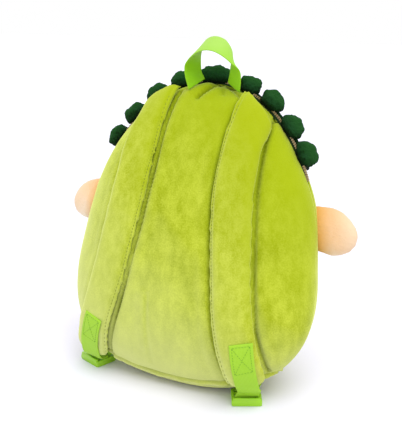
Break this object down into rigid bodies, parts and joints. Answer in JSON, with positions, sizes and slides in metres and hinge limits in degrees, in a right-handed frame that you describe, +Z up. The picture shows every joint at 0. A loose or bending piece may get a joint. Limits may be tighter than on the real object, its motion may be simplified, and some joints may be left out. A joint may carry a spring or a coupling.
{
  "type": "child's plush backpack",
  "caption": "Child's egg-shaped plush backpack with a padded crest of bobbles, two side flaps, padded shoulder straps, ladder-lock buckles, a zipper and a grab handle.",
  "frame": {"origin": "middle of the flattened base the bag rests on, on the floor", "axes": "+X towards the wearer's right side, -Y towards the wearer (the shoulder straps), +Z up"},
  "size_m": [0.3528, 0.1632, 0.3765],
  "materials": {
    "lime_velour": "short velour pile",
    "green_plush": "short plush",
    "peach_plush": "short plush",
    "zip_tape": "woven tape",
    "zip_metal": "satin",
    "lime_plastic": "moulded, glossy",
    "lime_webbing": "woven webbing"
  },
  "bodies": {
    "root": {"back_panel": "lime_velour", "front_shell": "lime_velour", "zipper_tape": "zip_tape", "zip_slider": "zip_metal", "crest_band": "green_plush", "crest_bobble_1": "green_plush", "crest_bobble_2": "green_plush", "crest_bobble_3": "green_plush", "crest_bobble_4": "green_plush", "crest_bobble_5": "green_plush", "crest_bobble_6": "green_plush", "crest_bobble_7": "green_plush", "crest_bobble_8": "green_plush", "crest_bobble_9": "green_plush", "side_flap_left": "peach_plush", "side_flap_right": "peach_plush", "shoulder_strap_left": "lime_velour", "shoulder_strap_right": "lime_velour", "ladder_lock_left": "lime_plastic", "ladder_lock_right": "lime_plastic", "strap_webbing_left": "lime_webbing", "strap_webbing_right": "lime_webbing", "lower_webbing_left": "lime_webbing", "lower_webbing_right": "lime_webbing", "grab_handle": "lime_webbing"}
  },
  "joints": []
}
